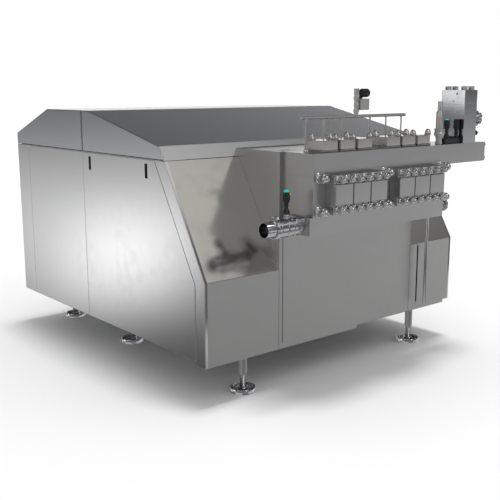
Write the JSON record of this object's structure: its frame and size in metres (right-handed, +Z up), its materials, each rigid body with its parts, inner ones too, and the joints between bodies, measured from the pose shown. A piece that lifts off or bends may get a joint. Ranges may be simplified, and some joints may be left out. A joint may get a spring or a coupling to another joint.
{
  "type": "high-pressure homogenizer",
  "caption": "Large industrial high-pressure homogenizer: plunger pump block with valve tower on the front of a hooded stainless-steel cabinet on levelling feet.",
  "frame": {"origin": "centre of the bounding box, on the floor under the feet", "axes": "+X to the right along the front, +Y from the pump end to the rear, +Z up"},
  "size_m": [2.809, 3.4889, 2.278],
  "materials": {
    "panel_steel": "brushed sheet, fine vertical grain",
    "roof_steel": "brushed sheet, satin",
    "mirror_steel": "polished sheet",
    "frame_steel": "brushed square tube",
    "forged_steel": "fine ground",
    "cover_steel": "ground",
    "nut_chrome": "polished",
    "pipe_steel": "polished tube",
    "foot_steel": "polished",
    "black_plastic": "moulded, matt",
    "teal_plastic": "moulded, gloss",
    "cast_paint": "grey enamel on casting",
    "motor_paint": "blue-grey enamel",
    "inner_steel": "machined",
    "belt_rubber": "matt"
  },
  "bodies": {
    "machine": {"base_frame": "frame_steel", "rear_side_panels": "panel_steel", "corner_posts": "panel_steel", "lower_front_panels": "panel_steel", "slant_panels": "mirror_steel", "front_housing": "panel_steel", "rear_panel": "panel_steel", "roof_front_hood": "roof_steel", "roof_rear_hood": "roof_steel", "pump_block": "forged_steel", "pressure_header": "forged_steel", "front_covers": "forged_steel", "front_cover_nuts": "nut_chrome", "block_stud_nuts": "nut_chrome", "top_covers": "cover_steel", "top_cover_nuts": "cover_steel", "tap_line": "pipe_steel", "tap_valve": "cover_steel", "pulsation_damper": "cover_steel", "valve_tower": "forged_steel", "valve_tower_head": "forged_steel", "tower_and_header_bolts": "nut_chrome", "homogenizing_seat_rings": "inner_steel", "outlet_pipe": "pipe_steel", "sensor_console": "black_plastic", "tower_control_head": "black_plastic", "inlet_pipe": "pipe_steel", "inlet_clamp": "pipe_steel", "butterfly_valve_body": "pipe_steel", "inlet_control_head": "black_plastic", "strainer_housing": "pipe_steel", "inlet_flange": "forged_steel", "bypass_pipe": "pipe_steel", "gallery_end_cap": "pipe_steel", "drain_pipe": "pipe_steel", "crankcase": "cast_paint", "motor_housing": "motor_paint", "drive_belts": "belt_rubber", "oil_unit": "cast_paint"},
    "left_panel": {"left_side_panel": "panel_steel"},
    "right_panel": {"right_side_panel": "panel_steel"},
    "inlet_disc": {"butterfly_disc": "inner_steel", "position_indicator": "teal_plastic"},
    "tap_knob": {"tap_valve_knob": "black_plastic"},
    "side_knob": {"tower_side_knob": "black_plastic"},
    "forcer": {"homogenizing_forcer": "inner_steel"},
    "inlet_poppets": {"inlet_valve_poppets": "inner_steel"},
    "outlet_poppets": {"outlet_valve_poppets": "inner_steel"},
    "first_plungers": {"plungers_first_pair": "inner_steel"},
    "second_plungers": {"plungers_second_pair": "inner_steel"},
    "third_plungers": {"plungers_third_pair": "inner_steel"},
    "crank": {"crankshaft": "inner_steel"},
    "pinion": {"pinion_shaft": "inner_steel"},
    "rotor": {"motor_rotor": "inner_steel"},
    "foot_1": {"levelling_foot_1": "foot_steel"},
    "foot_2": {"levelling_foot_2": "foot_steel"},
    "foot_3": {"levelling_foot_3": "foot_steel"},
    "foot_4": {"levelling_foot_4": "foot_steel"},
    "foot_5": {"levelling_foot_5": "foot_steel"},
    "foot_6": {"levelling_foot_6": "foot_steel"}
  },
  "joints": [
    {"name": "left_panel_pull", "type": "slide", "parent": "machine", "child": "left_panel", "axis": [-1, 0, 0], "range_m": [0, 0.45]},
    {"name": "right_panel_pull", "type": "slide", "parent": "machine", "child": "right_panel", "axis": [1, 0, 0], "range_m": [0, 0.45]},
    {"name": "inlet_valve_turn", "type": "hinge", "parent": "machine", "child": "inlet_disc", "pos_m": [-0.8215, -1.4555, 1.29], "axis": [0, 0, 1], "range_deg": [0, 90]},
    {"name": "tap_knob_turn", "type": "hinge", "parent": "machine", "child": "tap_knob", "pos_m": [-0.0125, -1.3535, 2.229], "axis": [1, 0, 0], "continuous": true},
    {"name": "side_knob_turn", "type": "hinge", "parent": "machine", "child": "side_knob", "pos_m": [1.2285, -1.5475, 1.89], "axis": [1, 0, 0], "continuous": true},
    {"name": "forcer_lift", "type": "slide", "parent": "machine", "child": "forcer", "axis": [0, 0, 1], "range_m": [0, 0.008]},
    {"name": "inlet_poppet_lift", "type": "slide", "parent": "machine", "child": "inlet_poppets", "axis": [0, 0, 1], "range_m": [0, 0.012]},
    {"name": "outlet_poppet_lift", "type": "slide", "parent": "machine", "child": "outlet_poppets", "axis": [0, 0, 1], "range_m": [0, 0.012]},
    {"name": "first_plunger_stroke", "type": "slide", "parent": "machine", "child": "first_plungers", "axis": [0, 1, 0], "range_m": [-0.06, 0.06]},
    {"name": "second_plunger_stroke", "type": "slide", "parent": "machine", "child": "second_plungers", "axis": [0, 1, 0], "range_m": [-0.06, 0.06]},
    {"name": "third_plunger_stroke", "type": "slide", "parent": "machine", "child": "third_plungers", "axis": [0, 1, 0], "range_m": [-0.06, 0.06]},
    {"name": "motor_spin", "type": "hinge", "parent": "machine", "child": "rotor", "pos_m": [-0.1225, 0.8945, 0.706], "axis": [1, 0, 0], "continuous": true},
    {"name": "pinion_spin", "type": "hinge", "parent": "machine", "child": "pinion", "pos_m": [-0.6675, -0.3755, 1.517], "axis": [1, 0, 0], "continuous": true},
    {"name": "crank_spin", "type": "hinge", "parent": "machine", "child": "crank", "pos_m": [-0.6675, -0.6155, 1.517], "axis": [1, 0, 0], "continuous": true},
    {"name": "foot_1_turn", "type": "hinge", "parent": "machine", "child": "foot_1", "pos_m": [-0.9775, -1.1475, 0], "axis": [0, 0, 1], "continuous": true},
    {"name": "foot_2_turn", "type": "hinge", "parent": "machine", "child": "foot_2", "pos_m": [-0.9775, 0.4545, 0], "axis": [0, 0, 1], "continuous": true},
    {"name": "foot_3_turn", "type": "hinge", "parent": "machine", "child": "foot_3", "pos_m": [-0.9775, 1.5505, 0], "axis": [0, 0, 1], "continuous": true},
    {"name": "foot_4_turn", "type": "hinge", "parent": "machine", "child": "foot_4", "pos_m": [0.9685, -1.1475, 0], "axis": [0, 0, 1], "continuous": true},
    {"name": "foot_5_turn", "type": "hinge", "parent": "machine", "child": "foot_5", "pos_m": [0.9685, 0.4545, 0], "axis": [0, 0, 1], "continuous": true},
    {"name": "foot_6_turn", "type": "hinge", "parent": "machine", "child": "foot_6", "pos_m": [0.9685, 1.5505, 0], "axis": [0, 0, 1], "continuous": true}
  ],
  "couplings": [
    {"joint": "pinion_spin", "follows": "motor_spin", "ratio": 0.5},
    {"joint": "crank_spin", "follows": "motor_spin", "ratio": -0.125}
  ]
}
